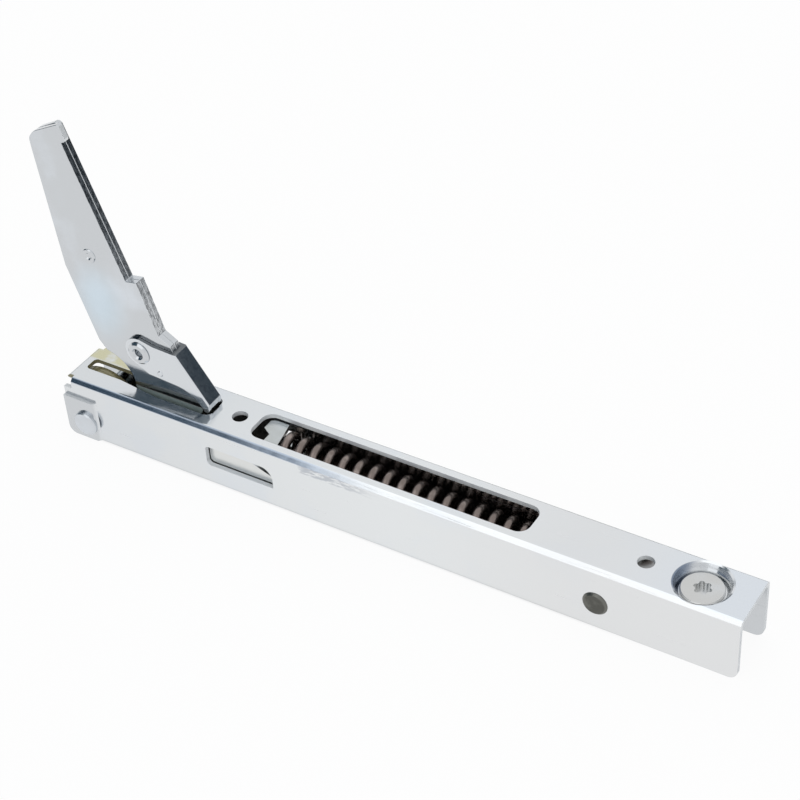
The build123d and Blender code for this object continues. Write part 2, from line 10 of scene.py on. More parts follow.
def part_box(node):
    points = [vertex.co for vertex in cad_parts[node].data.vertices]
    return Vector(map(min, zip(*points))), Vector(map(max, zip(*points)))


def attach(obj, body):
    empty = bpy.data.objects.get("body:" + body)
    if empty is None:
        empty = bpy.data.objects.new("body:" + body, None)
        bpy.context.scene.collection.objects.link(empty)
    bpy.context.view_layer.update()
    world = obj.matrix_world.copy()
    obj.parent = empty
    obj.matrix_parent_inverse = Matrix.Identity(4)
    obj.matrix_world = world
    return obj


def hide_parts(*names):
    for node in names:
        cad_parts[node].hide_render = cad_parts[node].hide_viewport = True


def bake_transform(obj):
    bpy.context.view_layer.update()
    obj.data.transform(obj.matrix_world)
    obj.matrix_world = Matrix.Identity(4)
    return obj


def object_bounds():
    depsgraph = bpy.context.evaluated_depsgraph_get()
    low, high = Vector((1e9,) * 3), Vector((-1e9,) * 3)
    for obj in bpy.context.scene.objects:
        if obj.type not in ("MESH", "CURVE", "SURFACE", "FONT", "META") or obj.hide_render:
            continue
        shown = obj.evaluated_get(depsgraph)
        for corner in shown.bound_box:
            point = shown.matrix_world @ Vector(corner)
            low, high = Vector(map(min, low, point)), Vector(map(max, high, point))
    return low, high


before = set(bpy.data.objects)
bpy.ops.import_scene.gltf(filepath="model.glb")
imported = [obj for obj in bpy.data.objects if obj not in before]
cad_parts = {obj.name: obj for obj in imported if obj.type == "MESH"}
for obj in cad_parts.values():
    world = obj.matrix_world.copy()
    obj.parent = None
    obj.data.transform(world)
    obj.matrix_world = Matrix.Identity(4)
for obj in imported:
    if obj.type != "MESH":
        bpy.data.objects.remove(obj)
cad_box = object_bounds()

bl_info = {
    "name": "Oven Door Hinge",
    "version": (1, 0, 0),
    "blender": (4, 5, 0),
    "location": "View3D > Sidebar > Hinge",
    "description": "Finishes, spring and studio for an oven door hinge",
    "category": "Object",
}

MM = 0.001

# Welding and easing of the copied plates
WELD = 0.001 * MM
FLAT = math.radians(0.3)
SMOOTH = math.radians(30)
SHARP = math.radians(35)
CORNER_REACH = 0.3 * MM
CORNER_STEPS = 6
EDGE_STEPS = 2

# Points of the spring's hook and of the crossing that leads to it
HOOK_STEPS = 48
CROSSING_STEPS = 12
QUARTER_TURN = 0.25

# Sideways direction at which the studio's dark side in front ends and the softbox begins
SHADE_END = -0.468


# Node maths


class Wire:
    """One output socket, so that node maths reads as a formula."""

    def __init__(self, graph, socket):
        self.graph = graph
        self.socket = socket

    def _math(self, operation, first, second=0.0):
        return self.graph.node("ShaderNodeMath", {"operation": operation}, {0: first, 1: second})

    def __add__(self, other):
        return self._math("ADD", self, other)

    __radd__ = __add__

    def __mul__(self, other):
        return self._math("MULTIPLY", self, other)

    __rmul__ = __mul__

    def __sub__(self, other):
        return self._math("SUBTRACT", self, other)

    def __rsub__(self, other):
        return self._math("SUBTRACT", other, self)

    def __abs__(self):
        return self._math("ABSOLUTE", self)

    def above(self, low, high):
        """0 below low, 1 above high, smooth between."""
        return self.graph.node(
            "ShaderNodeMapRange",
            {"interpolation_type": "SMOOTHSTEP"},
            {"Value": self, "From Min": low, "From Max": high},
        )

    def below(self, low, high):
        """1 below low, 0 above high, smooth between."""
        return 1 - self.above(low, high)


class Graph:
    """A node tree that is written as formulas."""

    def __init__(self, tree):
        self.tree = tree
        tree.nodes.clear()

    def node(self, kind, settings=None, links=None, output=0):
        """Adds a node, sets it up, then fills or links its sockets."""
        made = self.tree.nodes.new(kind)
        for name, value in (settings or {}).items():
            setattr(made, name, value)
        for name, value in (links or {}).items():
            if isinstance(name, int):
                socket = made.inputs[name]
            else:
                socket = next(s for s in made.inputs if name in (s.identifier, s.name))
            if isinstance(value, Wire):
                self.tree.links.new(value.socket, socket)
            else:
                socket.default_value = value
        return Wire(self, made.outputs[output]) if made.outputs else None

    def mix(self, first, second, factor):
        """A colour between two colours."""
        return self.node(
            "ShaderNodeMix",
            {"data_type": "RGBA"},
            {"Factor_Float": factor, "A_Color": first, "B_Color": second},
            output=2,
        )

    def paint(self, under, tint, mask):
        """A colour property laid over a colour where the mask is 1."""
        return self.mix(under, colour(tint), mask)

    def place(self, stretch=(1.0, 1.0, 1.0), output="Object"):
        """Position on the piece in metres, stretched for streaks."""
        coordinates = self.node("ShaderNodeTexCoord").socket.node.outputs
        here = Wire(self, coordinates[output])
        return self.node("ShaderNodeVectorMath", {"operation": "MULTIPLY"}, {0: here, 1: stretch})

    def axes(self, vector):
        """The three numbers of a vector."""
        split = self.node("ShaderNodeSeparateXYZ", None, {0: vector})
        return [Wire(self, socket) for socket in split.socket.node.outputs]

    def facing(self):
        """The three numbers of the surface's direction."""
        return self.axes(self.place(output="Normal"))

    def across(self):
        """How far the surface faces one of the hinge's two sides."""
        return abs(self.facing()[1])

    def distance(self, point, stretch):
        """Distance from a point, flattened along an axis where stretch is 0."""
        links = {0: self.place(stretch), 1: point}
        return self.node("ShaderNodeVectorMath", {"operation": "DISTANCE"}, links, output=1)

    def noise(self, vector, scale=1.0, detail=3.0, roughness=0.5):
        """Soft random numbers about 0.5."""
        return self.node(
            "ShaderNodeTexNoise",
            None,
            {"Vector": vector, "Scale": scale, "Detail": detail, "Roughness": roughness},
        )

    def bump(self, height, distance, strength, under=None):
        """Surface relief from a height."""
        links = {"Height": height, "Distance": distance, "Strength": strength}
        if under is not None:
            links["Normal"] = under
        return self.node("ShaderNodeBump", None, links)

    def surface(self, **sockets):
        """The surface shader, joined to the output."""
        links = {name.replace("_", " ").title(): value for name, value in sockets.items()}
        shader = self.node("ShaderNodeBsdfPrincipled", None, links)
        self.node("ShaderNodeOutputMaterial", None, {"Surface": shader})


def material(name):
    """A new material and its graph."""
    made = bpy.data.materials.new(name)
    made.use_nodes = True
    return made, Graph(made.node_tree)


def colour(values):
    """A colour property as a socket takes it."""
    return (*values, 1.0)


# Finishes


def plated(g, finish, tint):
    """Colour, roughness and relief of bright zinc: cloud, haze, rolled grain and slight waves."""
    here = g.place()
    cloud = g.noise(here, scale=45.0, detail=4.0)
    haze = g.noise(here, scale=400.0)
    grain = g.noise(g.place(stretch=(60.0, 900.0, 900.0)), detail=2.0)
    waves = g.noise(here, scale=90.0, detail=1.0)
    base = g.paint(colour(tint), finish.zinc_blue_and_sky_reflection, cloud.above(0.48, 0.72) * 0.6)
    rough = finish.zinc_roughness + (cloud - 0.5) * 0.08 + (haze - 0.5) * 0.05
    waved = g.bump(waves, distance=0.12 * MM, strength=0.6)
    relief = g.bump(grain + haze * 0.6, distance=0.02 * MM, strength=0.5, under=waved)
    return base, rough, relief


def turned_material(name, finish, tint, duller=0.0):
    """Plated rivets, screw and pins."""
    made, g = material(name)
    base, rough, normal = plated(g, finish, tint)
    g.surface(base_color=base, metallic=1.0, roughness=rough + duller, normal=normal)
    return made


def channel_tones(g, finish, base, spot):
    """Plate tones: shaded at the pivot, warm at the screw, a painted blue sky reflection on top
    near the screw, yellow film at the slot.
    """
    x, y, z = g.axes(g.place())
    upward = g.facing()[2]
    case_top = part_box("case")[1][2]
    base = g.paint(base, finish.zinc_shaded, x.below(0.0, 140 * MM) * 0.5)
    base = g.paint(base, finish.zinc_warm, x.above(120 * MM, 190 * MM) * 0.8)
    far_of_slot = x.below(16 * MM, 34 * MM) * y.above(2.2 * MM, 3.4 * MM)
    on_plate = upward.above(0.6, 0.9) * z.above(case_top - 1.5 * MM, case_top - 0.5 * MM)
    base = g.paint(base, finish.zinc_yellow, far_of_slot * on_plate * spot.above(0.3, 0.55))
    # Painted reflection: upward faces near the screw end get the blue of the sky they mirror
    sky_reflection_on_top = upward.above(0.8, 0.95) * z.above(case_top - 0.5 * MM, case_top - 0.2 * MM)
    return g.paint(base, finish.zinc_blue_and_sky_reflection, sky_reflection_on_top * x.above(185 * MM, 230 * MM) * 0.7)


def channel_edges(g, finish, base, spot):
    """Cut edges of the openings, the walls and the open end, with painted shade on the slot's edges
    near the pivot, and how far the cuts are bare.
    """
    x, y, z = g.axes(g.place())
    nx, ny, nz = g.facing()
    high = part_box("case")[1]
    case_end = high[0]
    underside = high[2] - 1.5 * MM
    inside_walls = abs(y).below(7.8 * MM, 8.2 * MM)
    hole_edge = z.above(underside - 0.2 * MM, underside + 0.1 * MM) * abs(nz).below(0.3, 0.6)
    hole_edge = hole_edge * inside_walls
    in_wall = abs(y).above(8.3 * MM, 8.6 * MM) * z.below(18.5 * MM, 19.5 * MM)
    wall_edge = in_wall * abs(ny).below(0.3, 0.6)
    end_edge = nx.above(0.7, 0.9) * x.above(case_end - 0.5 * MM, case_end - 0.1 * MM)
    torn = g.paint(colour(finish.zinc_shaded), finish.zinc, spot.above(0.4, 0.6))
    # Painted shade: the slot's cut edges near the pivot are painted dark olive
    torn = g.paint(torn, finish.hub, x.below(22 * MM, 34 * MM))
    base = g.mix(base, torn, hole_edge)
    base = g.paint(base, finish.edge_light, end_edge * 0.6)
    return base, hole_edge + wall_edge, end_edge


def channel_shades(g, finish, base, spot):
    """Painted light and shade: fingers, a painted dark reflection on the drawn seat, painted shade
    on the back of the nose and the far wall, a painted blue reflection along the fold with a
    painted dark smudge below it, and the jog's ledge.
    """
    x, y, z = g.axes(g.place())
    nx, ny, nz = g.facing()
    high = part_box("case")[1]
    case_top = high[2]
    fingers = x.below(11.5 * MM, 12.5 * MM) * z.below(15.2 * MM, 15.6 * MM)
    base = g.paint(base, finish.arm, fingers)
    # Painted reflection: the left side of the drawn screw seat is painted dark blue
    from_screw = g.distance((high[0] - 15.7 * MM, 0, 0), stretch=(1.0, 1.0, 0.0))
    drawn = from_screw.below(8.8 * MM, 9.0 * MM) * z.below(case_top - 0.2 * MM, case_top)
    drawn = drawn * z.above(15 * MM, 16 * MM)
    base = g.paint(base, finish.seat, drawn * x.below(212.5 * MM, 216.5 * MM))
    # Painted shade: the back of the nose, inside the channel, is painted dark olive
    nose_back = nx.above(0.2, 0.5) * x.below(3 * MM, 4 * MM)
    base = g.paint(base, finish.hub, nose_back * 0.85)
    # Painted shade: the far wall's inner face near the screw end takes the darker arm tone
    far_inside_shade = ny.below(-0.8, -0.5) * y.above(0.0, 1 * MM) * x.above(190 * MM, 215 * MM)
    base = g.paint(base, finish.arm, far_inside_shade)
    # Painted reflection: a blue band along the near fold, as of the studio's dark side
    near_fold = y.below(-7.5 * MM, -7.0 * MM) * z.above(19.8 * MM, 20.2 * MM)
    near_fold = near_fold * ny.below(-0.35, -0.15) * ny.above(-0.98, -0.90)
    base = g.paint(base, finish.fold_blue_reflection, near_fold * x.below(85 * MM, 125 * MM) * 0.8)
    jog = y.below(-9.8 * MM, -9.5 * MM) * x.below(13 * MM, 14 * MM)
    jog = jog * nz.above(0.3, 0.6) * ny.below(-0.3, -0.1)
    base = g.paint(base, finish.zinc_dark_reflection_and_ledge, jog * spot.above(0.35, 0.50) * 0.9)
    # Painted reflection: a streaky dark smudge on the near wall just below the fold
    smudge_streaks = g.noise(g.place(stretch=(250.0, 1200.0, 1200.0)), detail=4.0, roughness=0.65)
    below_fold = z.above(17.6 * MM, 18.4 * MM) * z.below(20.6 * MM, 21.2 * MM)
    smudge_span = x.above(89 * MM, 94 * MM) * x.below(104 * MM, 122 * MM)
    fold_smudge_reflection = below_fold * smudge_span * ny.below(-0.8, -0.4) * smudge_streaks.above(0.42, 0.55)
    return g.paint(base, finish.zinc_dark_reflection_and_ledge, fold_smudge_reflection * 0.55)


def channel_material(finish):
    """Channel plate with its tones, cut edges, shaded places and long scuffs."""
    made, g = material("channel_zinc")
    base, rough, normal = plated(g, finish, finish.zinc)
    spot = g.noise(g.place(), scale=160.0)
    base = channel_tones(g, finish, base, spot)
    base, cuts, end_edge = channel_edges(g, finish, base, spot)
    base = channel_shades(g, finish, base, spot)
    scuffs = g.noise(g.place(stretch=(35.0, 1100.0, 1100.0)), roughness=0.6).above(0.62, 0.70)
    rough = rough + scuffs * 0.14 + (cuts + end_edge) * 0.3
    g.surface(base_color=base, metallic=1 - cuts * 0.85, roughness=rough, normal=normal)
    return made


def arm_material(finish):
    """Arm plates: sheared long edges, blue cast on the blade, an olive hub painted dark as shade in
    the slot and a painted blue-green reflection inside the channel.
    """
    made, g = material("arm_zinc")
    base, rough, normal = plated(g, finish, finish.arm)
    x, y, z = g.axes(g.place())
    nx, ny, nz = g.facing()
    from_cast = g.distance((15 * MM, 0, 36 * MM), stretch=(1.0, 0.0, 0.7))
    base = g.paint(base, finish.arm_blue, from_cast.below(2 * MM, 13 * MM) * 0.5)
    # Sheared edges, darker towards the tip
    edge = nx.above(0.6, 0.8) * nz.below(0.5, 0.7)
    streak = g.noise(g.place(stretch=(600.0, 1500.0, 600.0)), detail=4.0, roughness=0.7)
    height = z.above(60 * MM, 112 * MM)
    tears = streak.above(0.44, 0.58) * 0.7 + height * 0.45
    torn = g.paint(colour(finish.edge_light), finish.edge_dark_and_shadow_line, tears)
    base = g.mix(base, torn, edge)
    tip = edge * z.above(108 * MM, 109 * MM) * y.below(-0.2 * MM, 0.0)
    base = g.paint(base, finish.zinc, tip)
    seam = edge * abs(y).below(0.08 * MM, 0.22 * MM)
    base = g.paint(base, finish.zinc, seam)
    # The part that runs in the slot and inside the channel: olive painted dark as shade in the
    # slot, and a painted reflection on the faces inside
    # Painted shade: the olive hub where it sits in the slot
    slot_shade = z.below(20.6 * MM, 21.4 * MM) * x.below(21.5 * MM, 23.5 * MM)
    base = g.paint(base, finish.hub, slot_shade)
    # Painted reflection: the plate faces inside the channel are painted blue-green
    inside = z.below(21.2 * MM, 22.2 * MM) * x.above(21.5 * MM, 23.5 * MM)
    inside = inside * abs(ny).above(0.5, 0.8)
    base = g.paint(base, finish.arm_inside_reflection, inside)
    metal = 1 - inside * 0.9 - tip * 0.7 - slot_shade * 0.6
    rough = rough + edge * 0.12 + inside * 0.4
    g.surface(base_color=base, metallic=metal, roughness=rough, normal=normal)
    return made


def lever_material(finish):
    """Folded lever: a painted shadow line on the cheeks' top edges and a painted dark reflection,
    mottled, on the back.
    """
    made, g = material("lever_zinc")
    base, rough, normal = plated(g, finish, finish.lever)
    nx, ny, nz = g.facing()
    between_cheeks = abs(g.axes(g.place())[1]).below(2.8 * MM, 3.1 * MM)
    back = nx.above(0.6, 0.8) * between_cheeks
    cheek_edge = abs(ny).below(0.3, 0.6) * nz.above(0.5, 0.8)
    mottle = g.noise(g.place(), scale=700.0)
    # Painted reflection: the back is darkened in a blue-grey mottle
    base = g.paint(base, finish.zinc_dark_reflection_and_ledge, back * mottle.above(0.45, 0.65) * 0.35)
    # Painted shadow: a dark line along the cheeks' top edges, where they meet the arm
    base = g.paint(base, finish.edge_dark_and_shadow_line, cheek_edge * (1 - back))
    g.surface(base_color=base, metallic=1.0, roughness=rough, normal=normal)
    return made


def yoke_material(finish):
    """Yoke plate: a darker bridge under the window and cheeks painted paler, as painted light."""
    made, g = material("yoke_zinc")
    base, rough, normal = plated(g, finish, finish.yoke)
    # Painted light: faces towards the sides are painted paler than the bridge
    base = g.paint(base, finish.yoke_cheek_painted_light, g.across().above(0.7, 0.9))
    g.surface(base_color=base, metallic=1.0, roughness=rough + 0.1, normal=normal)
    return made


def dark_steel_material(name, tint, worn, roughness, rim=0.0):
    """Unplated oiled steel, worn in places and on a turned rim."""
    made, g = material(name)
    here = g.place()
    cloud = g.noise(here, scale=300.0, detail=4.0, roughness=0.6)
    fine = g.noise(here, scale=2500.0, detail=2.0)
    across = g.across()
    slope = across.above(0.3, 0.5) * across.below(0.85, 0.97)
    base = g.paint(colour(tint), worn, cloud.above(0.45, 0.75) + slope * rim)
    rough = roughness + (cloud - 0.5) * 0.12
    normal = g.bump(cloud + fine * 0.4, distance=0.03 * MM, strength=0.6)
    g.surface(base_color=base, metallic=1.0, roughness=rough, normal=normal)
    return made


def dress(nodes, finish):
    """Gives nodes of the frame their material."""
    for node in nodes:
        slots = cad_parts[node].data.materials
        slots.clear()
        slots.append(finish)


# Plates with broken edges


def bevel(piece, name, width, steps, method):
    """A bevel that leaves the flat faces flat."""
    modifier = piece.modifiers.new(name, "BEVEL")
    modifier.width = width
    modifier.segments = steps
    modifier.limit_method = method
    modifier.harden_normals = True
    return modifier


def weld(data, corners):
    """Welds a plate, joins its flat faces and marks the edges at some corners of its side view."""
    mesh = bmesh.new()
    mesh.from_mesh(data)
    bmesh.ops.remove_doubles(mesh, verts=mesh.verts, dist=WELD)
    bmesh.ops.dissolve_limit(mesh, angle_limit=FLAT, verts=mesh.verts, edges=mesh.edges)
    weight = mesh.edges.layers.float.new("bevel_weight_edge")
    for face in mesh.faces:
        face.smooth = True
    for edge in mesh.edges:
        edge.smooth = edge.calc_face_angle(0) < SMOOTH
        for x, z in corners:
            ends = [math.hypot(vertex.co.x - x, vertex.co.z - z) for vertex in edge.verts]
            if max(ends) < CORNER_REACH:
                edge[weight] = 1.0
    mesh.to_mesh(data)
    mesh.free()
    if "custom_normal" in data.attributes:
        data.attributes.remove(data.attributes["custom_normal"])


def eased_copy(node, body, finish, width, corners=(), radius=0.0):
    """A copy of a node with broken edges and some rounded corners, as tumbling leaves them."""
    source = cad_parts[node]
    piece = bpy.data.objects.new(node + "_eased", source.data.copy())
    piece.matrix_world = source.matrix_world
    bpy.context.scene.collection.objects.link(piece)
    weld(piece.data, corners)
    if corners:
        bevel(piece, "rounded_corners", radius, CORNER_STEPS, "WEIGHT")
    bevel(piece, "eased_edges", width, EDGE_STEPS, "ANGLE").angle_limit = SHARP
    piece.data.materials.clear()
    piece.data.materials.append(finish)
    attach(piece, body)
    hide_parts(node)


# Spring


def tube(name, path, radius, sides):
    """A closed round bar along a path, without twist."""
    mesh = bmesh.new()
    rings = []
    normal = None
    for i, point in enumerate(path):
        run = (path[min(i + 1, len(path) - 1)] - path[max(i - 1, 0)]).normalized()
        if normal is None:
            normal = run.orthogonal().normalized()
        normal = (normal - run * normal.dot(run)).normalized()
        side = run.cross(normal)
        ring = []
        for k in range(sides):
            turn = 2 * math.pi * k / sides
            outward = normal * math.cos(turn) + side * math.sin(turn)
            ring.append(mesh.verts.new(point + outward * radius))
        rings.append(ring)
    for first, second in zip(rings, rings[1:]):
        for k in range(sides):
            after = (k + 1) % sides
            mesh.faces.new((first[k], first[after], second[after], second[k]))
    mesh.faces.new(rings[0][::-1])
    mesh.faces.new(rings[-1])
    mesh.normal_update()
    data = bpy.data.meshes.new(name)
    mesh.to_mesh(data)
    mesh.free()
    for face in data.polygons:
        face.use_smooth = len(face.vertices) == 4
    piece = bpy.data.objects.new(name, data)
    bpy.context.scene.collection.objects.link(piece)
    return piece


def centre(node):
    """Middle of a node's box."""
    low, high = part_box(node)
    return (Vector(low) + Vector(high)) / 2


def coil_points(spring, start, along):
    """Helix from the yoke towards the anchor."""
    up = Vector((-along.z, 0, along.x))
    across = Vector((0, 1, 0))
    turns = spring.turns + spring.lead_in + QUARTER_TURN
    first = (spring.first_turn - start.x) / along.x - spring.lead_in * spring.pitch
    steps = int(turns * spring.steps)
    points = []
    for i in range(steps + 1):
        done = turns * i / steps
        angle = (QUARTER_TURN + done - spring.lead_in) * 2 * math.pi
        place = start + along * (first + done * spring.pitch)
        outward = across * math.cos(angle) + up * math.sin(angle)
        points.append(place + outward * spring.radius)
    return points


def hook_points(spring, middle):
    """Open loop round the anchor pin."""
    points = []
    for i in range(HOOK_STEPS + 1):
        angle = spring.hook_start + spring.hook_sweep * i / HOOK_STEPS
        points.append(middle + Vector((math.cos(angle), 0, math.sin(angle))) * spring.radius)
    return points


def crossing_points(coil, hook, stiffness):
    """One smooth curve from the last turn to the hook."""
    leave = (coil[-1] - coil[-2]).normalized() * stiffness
    arrive = (hook[1] - hook[0]).normalized() * stiffness
    points = []
    for i in range(1, CROSSING_STEPS):
        t = i / CROSSING_STEPS
        points.append(
            coil[-1] * (2 * t**3 - 3 * t**2 + 1)
            + leave * (t**3 - 2 * t**2 + t)
            + hook[0] * (3 * t**2 - 2 * t**3)
            + arrive * (t**3 - t**2)
        )
    return points


def spring_path(spring):
    """Points along the wire: coil, crossing, then the hook round the anchor pin."""
    start = centre("link_pin")
    middle = centre("anchor_pin") + Vector((-spring.hook_back, 0, spring.hook_rise))
    coil = coil_points(spring, start, (middle - start).normalized())
    hook = hook_points(spring, middle)
    return coil + crossing_points(coil, hook, spring.crossing) + hook


# What a user may change


class HingeFinish(bpy.types.PropertyGroup):
    """Colours and gloss of the metals."""

    zinc: FloatVectorProperty(
        name="Zinc",
        description="Plated sheet",
        subtype="COLOR",
        default=(0.78, 0.80, 0.81),
        min=0,
        max=1,
    )
    # Blue of the plate's random cloud, and the painted sky reflection on the top near the screw
    zinc_blue_and_sky_reflection: FloatVectorProperty(
        name="Zinc Blue",
        description="Bluish cloud of the plate",
        subtype="COLOR",
        default=(0.72, 0.77, 0.83),
        min=0,
        max=1,
    )
    zinc_yellow: FloatVectorProperty(
        name="Zinc Yellow",
        description="Yellowish film near the pivot",
        subtype="COLOR",
        default=(0.62, 0.60, 0.42),
        min=0,
        max=1,
    )
    zinc_shaded: FloatVectorProperty(
        name="Zinc Shaded",
        description="Plate near the pivot end",
        subtype="COLOR",
        default=(0.62, 0.64, 0.66),
        min=0,
        max=1,
    )
    zinc_warm: FloatVectorProperty(
        name="Zinc Warm",
        description="Plate near the fixing screw",
        subtype="COLOR",
        default=(0.75, 0.755, 0.76),
        min=0,
        max=1,
    )
    # Painted dark blue reflection on the left side of the drawn screw seat
    seat: FloatVectorProperty(
        name="Seat",
        description="Drawn side of the screw seat",
        subtype="COLOR",
        default=(0.20, 0.24, 0.31),
        min=0,
        max=1,
    )
    # Painted blue reflection along the near fold
    fold_blue_reflection: FloatVectorProperty(
        name="Fold Blue",
        description="Blue cast along the fold",
        subtype="COLOR",
        default=(0.40, 0.48, 0.60),
        min=0,
        max=1,
    )
    # Darker zinc: the painted dark reflections below the fold and on the lever's back, and the
    # jog's ledge
    zinc_dark_reflection_and_ledge: FloatVectorProperty(
        name="Zinc Smear",
        description="Marks of the bending tool",
        subtype="COLOR",
        default=(0.33, 0.36, 0.42),
        min=0,
        max=1,
    )
    # Also used as the painted shade on the far wall's inner face
    arm: FloatVectorProperty(
        name="Arm",
        description="Plate of the arm",
        subtype="COLOR",
        default=(0.59, 0.61, 0.63),
        min=0,
        max=1,
    )
    arm_blue: FloatVectorProperty(
        name="Arm Blue",
        description="Blue cast on the arm",
        subtype="COLOR",
        default=(0.58, 0.72, 0.82),
        min=0,
        max=1,
    )
    screw: FloatVectorProperty(
        name="Screw",
        description="Head of the fixing screw",
        subtype="COLOR",
        default=(0.62, 0.62, 0.61),
        min=0,
        max=1,
    )
    # Olive film, painted dark as shade in the slot: on the hub, the slot's cut edges and behind the
    # nose
    hub: FloatVectorProperty(
        name="Hub",
        description="Greasy hub of the arm and the slot round it",
        subtype="COLOR",
        default=(0.24, 0.22, 0.13),
        min=0,
        max=1,
    )
    # Painted blue-green reflection on the arm inside the channel
    arm_inside_reflection: FloatVectorProperty(
        name="Arm Inside",
        description="Arm where it runs inside the channel",
        subtype="COLOR",
        default=(0.34, 0.42, 0.41),
        min=0,
        max=1,
    )
    yoke: FloatVectorProperty(
        name="Yoke",
        description="Bridge of the yoke",
        subtype="COLOR",
        default=(0.50, 0.52, 0.51),
        min=0,
        max=1,
    )
    # Sides of the yoke, painted paler as painted light
    yoke_cheek_painted_light: FloatVectorProperty(
        name="Yoke Cheek",
        description="Sides of the yoke",
        subtype="COLOR",
        default=(0.73, 0.74, 0.73),
        min=0,
        max=1,
    )
    lever: FloatVectorProperty(
        name="Lever",
        description="Plate of the lock lever",
        subtype="COLOR",
        default=(0.66, 0.685, 0.71),
        min=0,
        max=1,
    )
    zinc_roughness: FloatProperty(
        name="Zinc Roughness",
        description="Gloss of the plate",
        default=0.14,
        min=0,
        max=1,
    )
    # Dark sheared edge in the arm's tears, and the painted shadow line on the lever's cheeks
    edge_dark_and_shadow_line: FloatVectorProperty(
        name="Edge Dark",
        description="Sheared edge in the tears",
        subtype="COLOR",
        default=(0.16, 0.17, 0.18),
        min=0,
        max=1,
    )
    edge_light: FloatVectorProperty(
        name="Edge Light",
        description="Sheared edge where it is smeared bright",
        subtype="COLOR",
        default=(0.74, 0.76, 0.78),
        min=0,
        max=1,
    )
    pin: FloatVectorProperty(
        name="Pin",
        description="Unplated anchor pin",
        subtype="COLOR",
        default=(0.10, 0.10, 0.09),
        min=0,
        max=1,
    )
    pin_worn: FloatVectorProperty(
        name="Pin Worn",
        description="Worn places of the pin",
        subtype="COLOR",
        default=(0.17, 0.17, 0.155),
        min=0,
        max=1,
    )
    wire: FloatVectorProperty(
        name="Wire",
        description="Tempered spring wire",
        subtype="COLOR",
        default=(0.20, 0.165, 0.15),
        min=0,
        max=1,
    )
    wire_worn: FloatVectorProperty(
        name="Wire Worn",
        description="Paler places of the wire",
        subtype="COLOR",
        default=(0.33, 0.28, 0.26),
        min=0,
        max=1,
    )


class HingeSpring(bpy.types.PropertyGroup):
    """Sizes of the spring."""

    wire: FloatProperty(
        name="Wire",
        description="Wire radius",
        default=1.5 * MM,
        unit="LENGTH",
    )
    radius: FloatProperty(
        name="Coil Radius",
        description="Mean radius of the turns",
        default=6.25 * MM,
        unit="LENGTH",
    )
    pitch: FloatProperty(
        name="Pitch",
        description="Distance between turns",
        default=5.18 * MM,
        unit="LENGTH",
    )
    first_turn: FloatProperty(
        name="First Turn",
        description="Where the wire first crosses the top",
        default=80.9 * MM,
        unit="LENGTH",
    )
    lead_in: FloatProperty(
        name="Lead In",
        description="Part of a turn before the first crossing",
        default=0.58,
    )
    turns: IntProperty(
        name="Turns",
        description="Whole turns after the first crossing",
        default=19,
    )
    steps: IntProperty(
        name="Steps",
        description="Points in each turn",
        default=40,
    )
    sides: IntProperty(
        name="Sides",
        description="Faces round the wire",
        default=18,
    )
    hook_back: FloatProperty(
        name="Hook Back",
        description="Hook centre behind the pin",
        default=0.45 * MM,
        unit="LENGTH",
    )
    hook_rise: FloatProperty(
        name="Hook Rise",
        description="Hook centre above the pin",
        default=0.54 * MM,
        unit="LENGTH",
    )
    hook_start: FloatProperty(
        name="Hook Start",
        description="Where the hook begins",
        default=math.radians(250),
        subtype="ANGLE",
    )
    hook_sweep: FloatProperty(
        name="Hook Sweep",
        description="How far the hook goes round",
        default=math.radians(293),
        subtype="ANGLE",
    )
    crossing: FloatProperty(
        name="Crossing",
        description="Stiffness of the crossing to the hook",
        default=13 * MM,
        unit="LENGTH",
    )


class HingeStage(bpy.types.PropertyGroup):
    """Floor, light and camera."""

    floor: FloatVectorProperty(
        name="Floor",
        description="Floor colour",
        subtype="COLOR",
        default=(0.9, 0.9, 0.9),
        min=0,
        max=1,
    )
    # Painted shadow on the floor inside the channel
    floor_shaded: FloatVectorProperty(
        name="Floor Shaded",
        description="Floor inside the channel",
        subtype="COLOR",
        default=(0.12, 0.11, 0.10),
        min=0,
        max=1,
    )
    floor_left: FloatProperty(
        name="Floor Left",
        description="Left edge of the floor",
        default=-2.0,
        unit="LENGTH",
    )
    floor_right: FloatProperty(
        name="Floor Right",
        description="Right edge of the floor",
        default=0.29,
        unit="LENGTH",
    )
    floor_front: FloatProperty(
        name="Floor Front",
        description="Front edge of the floor",
        default=-0.8,
        unit="LENGTH",
    )
    floor_back: FloatProperty(
        name="Floor Back",
        description="Back edge of the floor",
        default=1.5,
        unit="LENGTH",
    )
    glow: FloatProperty(
        name="Glow",
        description="Share of the floor that is seen as plain white",
        default=0.93,
        min=0,
        max=1,
    )
    sky: FloatVectorProperty(
        name="Sky",
        description="Studio walls",
        subtype="COLOR",
        default=(0.93, 0.94, 0.95),
        min=0,
        max=1,
    )
    shade_front: FloatVectorProperty(
        name="Front Shade",
        description="Dark side of the studio in front on the left",
        subtype="COLOR",
        default=(0.05, 0.085, 0.115),
        min=0,
        max=1,
    )
    shade_back: FloatVectorProperty(
        name="Back Shade",
        description="Dark side of the studio behind on the right",
        subtype="COLOR",
        default=(0.045, 0.06, 0.075),
        min=0,
        max=1,
    )
    softbox: FloatProperty(
        name="Softbox",
        description="How much brighter the front softbox is",
        default=0.4,
        min=0,
    )
    focal: FloatProperty(
        name="Focal Length",
        description="Camera focal length in millimetres",
        default=88.0,
    )


# Operators


